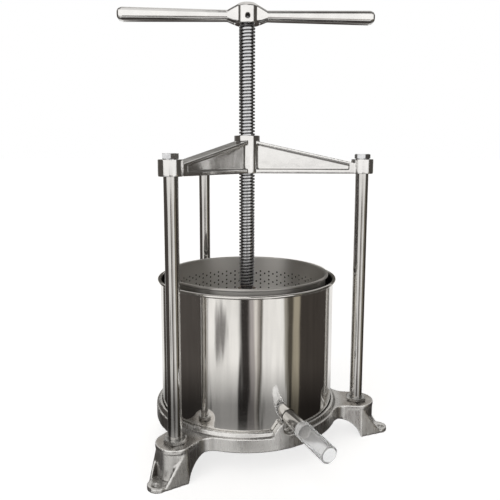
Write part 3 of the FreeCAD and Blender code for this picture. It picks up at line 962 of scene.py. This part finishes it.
def add_cell(shape, column, low, high):
    """One cell of the wall, as a ring of faces round its hole."""
    border = [shape.verts.new(wall_point(step, height)) for step, height in cell_border(column, low, high)]
    middle_step = (column + 0.5) * CELL_SIDE
    middle_height = (low + high) / 2
    count = len(border)
    first_angle = 270 - CELL_SIDE / 2 * 360 / count
    steps_per_metre = HOLE_COLUMNS * CELL_SIDE / (2 * math.pi * BASKET_RADIUS)
    hole = []
    for index in range(count):
        angle = math.radians(first_angle + 360 * index / count)
        step = middle_step + HOLE_RADIUS * math.cos(angle) * steps_per_metre
        hole.append(shape.verts.new(wall_point(step, middle_height + HOLE_RADIUS * math.sin(angle))))
    for index in range(count):
        after = (index + 1) % count
        shape.faces.new((border[index], border[after], hole[after], hole[index]))


def add_plain_band(shape, heights):
    """Rows of the wall without holes, between the given heights."""
    count = HOLE_COLUMNS * CELL_SIDE
    for low, high in zip(heights, heights[1:]):
        for step in range(count):
            shape.faces.new([
                shape.verts.new(wall_point(*corner))
                for corner in ((step, low), (step + 1, low), (step + 1, high), (step, high))
            ])


def basket_mesh():
    """The perforated sheet with its rolled rim."""
    low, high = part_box("basket_wall")
    bead_height = high.z - BASKET_BEAD
    holes_top = FIRST_HOLE + HOLE_ROWS * HOLE_ROW

    def build(shape):
        add_plain_band(shape, [low.z, (low.z + FIRST_HOLE) / 2, FIRST_HOLE])
        for column in range(HOLE_COLUMNS):
            rows_per_hole = 1 + column % 2
            for row in range(0, HOLE_ROWS, rows_per_hole):
                bottom = FIRST_HOLE + row * HOLE_ROW
                add_cell(shape, column, bottom, bottom + rows_per_hole * HOLE_ROW)
        add_plain_band(shape, [holes_top, (holes_top + bead_height) / 2, bead_height])

    def thicken(carrier):
        sheet = carrier.modifiers.new("Sheet", "SOLIDIFY")
        sheet.thickness = BASKET_SHEET
        sheet.offset = -1
        sheet.use_even_offset = True

    wall = frozen("basket_sheet", mesh_from("basket_sheet", build), thicken)
    return added_to(wall, lambda shape: add_bead(shape, BASKET_OUTSIDE, high.z, BASKET_BEAD))


def container_and_basket():
    piece("container_sheet", container_mesh(), MIRROR, "container", ["container_wall"])
    piece("spout_tube", spout_mesh(), SPOUT_STEEL, "container", ["spout"])
    piece("hose_tube", hose_mesh(), CLEAR, "container", ["hose"])
    piece("basket_sheet", basket_mesh(), SATIN, "basket", ["basket_wall"])
    for node in ("container_floor", "basket_floor"):
        refinish(node, SATIN)


# Camera at the photograph's place

CAMERA_SIDE = -116.197
CAMERA_DISTANCE = 715.3 * MM
CAMERA_HEIGHT = 361.0 * MM
CAMERA_TILT = 7.788
CAMERA_YAW = 0.324
CAMERA_ROLL = 0.125
CAMERA_LENS = 40.25
SENSOR = 36
CAMERA_SHIFT = -0.0356


def set_camera():
    data = bpy.data.cameras.new("Camera")
    data.lens = CAMERA_LENS
    data.sensor_width = SENSOR
    data.shift_y = CAMERA_SHIFT
    data.clip_start = 0.01
    camera = bpy.data.objects.new("Camera", data)
    bpy.context.scene.collection.objects.link(camera)
    side = math.radians(CAMERA_SIDE)
    tilt = math.radians(CAMERA_TILT)
    heading = math.radians(CAMERA_SIDE + 180 - CAMERA_YAW)
    level = math.cos(tilt)
    forward = Vector((math.cos(heading) * level, math.sin(heading) * level, -math.sin(tilt)))
    right = forward.cross(UP).normalized()
    upward = right.cross(forward)
    roll = math.radians(CAMERA_ROLL)
    rolled_right = right * math.cos(roll) + upward * math.sin(roll)
    rolled_up = upward * math.cos(roll) - right * math.sin(roll)
    turn = Matrix((rolled_right, rolled_up, -forward)).transposed()
    across, ahead = CAMERA_DISTANCE * math.cos(side), CAMERA_DISTANCE * math.sin(side)
    place = Vector((across, ahead, CAMERA_HEIGHT))
    camera.matrix_world = Matrix.Translation(place) @ turn.to_4x4()
    bpy.context.scene.camera = camera


# Studio: a pale floor, soft light from above, and upright light and dark panels for the metal to mirror

DARK = (0.058, 0.050, 0.044)
WHITE = (1.0, 0.985, 0.96)

# Where each panel starts, as seen from the press, in degrees from the camera towards its right
LOW_PANELS = [
    (-180, DARK),
    (-168, (0.95, 0.94, 0.92)),
    (-146, (0.082, 0.073, 0.067)),
    (-51, WHITE),
    (-7.5, (0.046, 0.041, 0.039)),
    (2.5, (0.44, 0.41, 0.40)),
    (9.7, (0.85, 0.81, 0.76)),
    (13.5, (0.42, 0.39, 0.36)),
    (17.3, (0.11, 0.10, 0.085)),
    (21, WHITE),
    (49, (0.33, 0.31, 0.27)),
    (53.5, (0.085, 0.075, 0.06)),
    (62, (0.40, 0.36, 0.28)),
    (72, DARK),
    (141, (0.95, 0.94, 0.92)),
    (168, DARK),
]
HIGH_PANELS = [
    (-180, (0.75, 0.74, 0.72)),
    (-135, (0.08, 0.073, 0.065)),
    (-62, WHITE),
    (60, (0.07, 0.065, 0.058)),
    (135, (0.75, 0.74, 0.72)),
]
CEILING_PANELS = [
    (-180, (0.68, 0.665, 0.64)),
    (-140, (0.12, 0.115, 0.11)),
    (-70, (0.72, 0.705, 0.685)),
    (6, (0.10, 0.095, 0.09)),
    (80, (0.26, 0.255, 0.245)),
    (140, (0.68, 0.665, 0.64)),
]
FLOOR_PANELS = [
    (-180, (0.30, 0.285, 0.27)),
    (-150, (0.11, 0.105, 0.10)),
    (-72, (0.76, 0.745, 0.72)),
    (44, (0.09, 0.085, 0.08)),
    (150, (0.30, 0.285, 0.27)),
]
BACK_TONE = (0.10, 0.095, 0.085)
NADIR = (0.045, 0.04, 0.037)
LIGHT_LEVEL = 1.15
FLOOR_LIFT = 0.70

# Heights, as the upward share of a direction, between which one part of the studio passes into the next
CEILING_STARTS = (0.41, 0.47)
BACK_ENDS = (0.46, 0.30)
HIGH_STARTS = (-0.09, -0.03)
UNREST_STARTS = (-0.33, -0.43)
FADE_STARTS = (-0.36, -0.42)
FLOOR_STARTS = (-0.455, -0.50)
NADIR_STARTS = (-0.64, -0.80)
BACK_TURNS = (2.2, 2.5)
MOST_UNREST = 5
FADED_SHARE = 0.25
SMUDGE_TURN = -34.0
SMUDGE_WIDTH = 8.0
SMUDGE_HEIGHT = -0.306
SMUDGE_REACH = 0.043
SMUDGE_RIM = (1.6, 0.3)
SMUDGE_SHARE = 0.88
SMUDGE_TONE = (0.14, 0.13, 0.125)
PANEL_EDGE = 1.3
PANEL_WAVE = 0.035


def panel_ramp(tree, turn, panels):
    """One row of panels as a ramp over the full circle."""
    node = tree.nodes.new("ShaderNodeValToRGB")
    stops = node.color_ramp.elements
    stops[0].position = 0
    stops[0].color = (*panels[0][1], 1)
    stops[1].position = 1
    stops[1].color = (*panels[-1][1], 1)
    for (_, before), (start, colour) in zip(panels, panels[1:]):
        for edge, value in ((start - PANEL_EDGE, before), (start + PANEL_EDGE, colour)):
            stop = stops.new((edge + 180) / 360)
            stop.color = (*value, 1)
    tree.links.new(turn, node.inputs["Fac"])
    return node.outputs["Color"]


def studio_colour(tree):
    """Light from each direction: upright panels below and above the horizon, the ceiling and the floor."""
    direction = tree.nodes.new("ShaderNodeTexCoord").outputs["Generated"]
    side = math.radians(CAMERA_SIDE)
    towards_camera = Vector((math.cos(side), math.sin(side), 0))
    towards_right = UP.cross(towards_camera)
    shares = []
    for axis in (towards_right, towards_camera, UP):
        dot = tree.nodes.new("ShaderNodeVectorMath")
        dot.operation = "DOT_PRODUCT"
        dot.inputs[1].default_value = axis
        tree.links.new(direction, dot.inputs[0])
        shares.append(dot.outputs["Value"])
    up = shares[2]
    unrest = ranged(tree, up, *UNREST_STARTS, 1, MOST_UNREST)
    wave = ranged(tree, noise(tree, direction, 6, 2, 0.5), 0.2, 0.8, -PANEL_WAVE, PANEL_WAVE)
    turn = calculated(tree, "ADD", calculated(tree, "ARCTAN2", shares[0], shares[1]),
                      calculated(tree, "MULTIPLY", wave, unrest))
    share_of_circle = ranged(tree, turn, -math.pi, math.pi, 0, 1)
    low = panel_ramp(tree, share_of_circle, LOW_PANELS)
    high = panel_ramp(tree, share_of_circle, HIGH_PANELS)
    aside = calculated(tree, "DIVIDE", calculated(tree, "SUBTRACT", turn, math.radians(SMUDGE_TURN)),
                       math.radians(SMUDGE_WIDTH))
    above = calculated(tree, "DIVIDE", calculated(tree, "SUBTRACT", up, SMUDGE_HEIGHT), SMUDGE_REACH)
    away = calculated(tree, "ADD", calculated(tree, "POWER", aside, 2), calculated(tree, "POWER", above, 2))
    frayed = ranged(tree, noise(tree, direction, 22, 3, 0.6), 0.3, 0.7, -0.7, 0.7)
    ragged = calculated(tree, "ADD", away, frayed)
    smudged = mixed(tree, ranged(tree, ragged, *SMUDGE_RIM, 0, SMUDGE_SHARE), low, SMUDGE_TONE)
    cloudy = ranged(tree, noise(tree, direction, 9, 3, 0.6), 0.3, 0.7, 0.80, 1.0)
    fading = calculated(tree, "MULTIPLY", cloudy, ranged(tree, up, *FADE_STARTS, 1, FADED_SHARE))
    faded = tree.nodes.new("ShaderNodeVectorMath")
    faded.operation = "SCALE"
    tree.links.new(smudged, faded.inputs[0])
    tree.links.new(fading, faded.inputs["Scale"])
    ground = panel_ramp(tree, share_of_circle, FLOOR_PANELS)
    with_floor = mixed(tree, ranged(tree, up, *FLOOR_STARTS, 0, 1), faded.outputs["Vector"], ground)
    with_nadir = mixed(tree, ranged(tree, up, *NADIR_STARTS, 0, 1), with_floor, NADIR)
    behind = ranged(tree, calculated(tree, "ABSOLUTE", turn), *BACK_TURNS, 0, 1)
    back = calculated(tree, "MULTIPLY", behind, ranged(tree, up, *BACK_ENDS, 0, 1))
    both = mixed(tree, ranged(tree, up, *HIGH_STARTS, 0, 1), with_nadir, mixed(tree, back, high, BACK_TONE))
    ceiling = panel_ramp(tree, share_of_circle, CEILING_PANELS)
    return mixed(tree, ranged(tree, up, *CEILING_STARTS, 0, 1), both, ceiling)


def set_world():
    """Plain white for the camera and through the hose; metal mirrors a white studio with its dark flags."""
    world = bpy.data.worlds.new("Studio")
    bpy.context.scene.world = world
    world.use_nodes = True
    tree = world.node_tree
    tree.nodes.clear()
    light = tree.nodes.new("ShaderNodeBackground")
    tree.links.new(studio_colour(tree), light.inputs["Color"])
    white = tree.nodes.new("ShaderNodeBackground")
    white.inputs["Color"].default_value = (1, 1, 1, 1)
    path = tree.nodes.new("ShaderNodeLightPath").outputs
    tree.links.new(ranged(tree, path["Is Glossy Ray"], 0, 1, LIGHT_LEVEL, 1), light.inputs["Strength"])
    seen = calculated(tree, "MAXIMUM", path["Is Camera Ray"], path["Is Transmission Ray"])
    choice = tree.nodes.new("ShaderNodeMixShader")
    tree.links.new(seen, choice.inputs["Fac"])
    tree.links.new(light.outputs["Background"], choice.inputs[1])
    tree.links.new(white.outputs["Background"], choice.inputs[2])
    end = tree.nodes.new("ShaderNodeOutputWorld")
    tree.links.new(choice.outputs["Shader"], end.inputs["Surface"])


def floor_finish():
    """Pale floor: it keeps the press's shadow, and mirrors show the studio's panels in its place."""
    finish, tree, shader = new_finish("Pale floor")
    tree.nodes.remove(shader)
    place = tree.nodes.new("ShaderNodeTexCoord").outputs["Object"]
    dust = ranged(tree, noise(tree, place, 9, 4), 0.3, 0.7, 0, 1)
    matt = tree.nodes.new("ShaderNodeBsdfDiffuse")
    tree.links.new(mixed(tree, dust, (0.78, 0.78, 0.78), (0.80, 0.80, 0.80)), matt.inputs["Color"])
    lift = tree.nodes.new("ShaderNodeEmission")
    lift.inputs["Color"].default_value = (1, 1, 1, 1)
    path = tree.nodes.new("ShaderNodeLightPath").outputs
    tree.links.new(calculated(tree, "MULTIPLY", path["Is Camera Ray"], FLOOR_LIFT), lift.inputs["Strength"])
    lit = tree.nodes.new("ShaderNodeAddShader")
    tree.links.new(matt.outputs["BSDF"], lit.inputs[0])
    tree.links.new(lift.outputs["Emission"], lit.inputs[1])
    open_air = tree.nodes.new("ShaderNodeBsdfTransparent")
    choice = tree.nodes.new("ShaderNodeMixShader")
    tree.links.new(path["Is Glossy Ray"], choice.inputs["Fac"])
    tree.links.new(lit.outputs["Shader"], choice.inputs[1])
    tree.links.new(open_air.outputs["BSDF"], choice.inputs[2])
    tree.links.new(choice.outputs["Shader"], tree.nodes["Material Output"].inputs["Surface"])
    return finish


def set_floor():
    depth = -0.1 * MM
    mesh = lathe("floor", [(0, depth), (FLOOR_RADIUS, depth)], 64)
    floor = bpy.data.objects.new("floor", mesh)
    bpy.context.scene.collection.objects.link(floor)
    mesh.materials.append(floor_finish())


castings()
columns_and_fasteners()
screw_assembly()
container_and_basket()
set_camera()
set_world()
set_floor()
bpy.context.scene.view_settings.view_transform = "Standard"
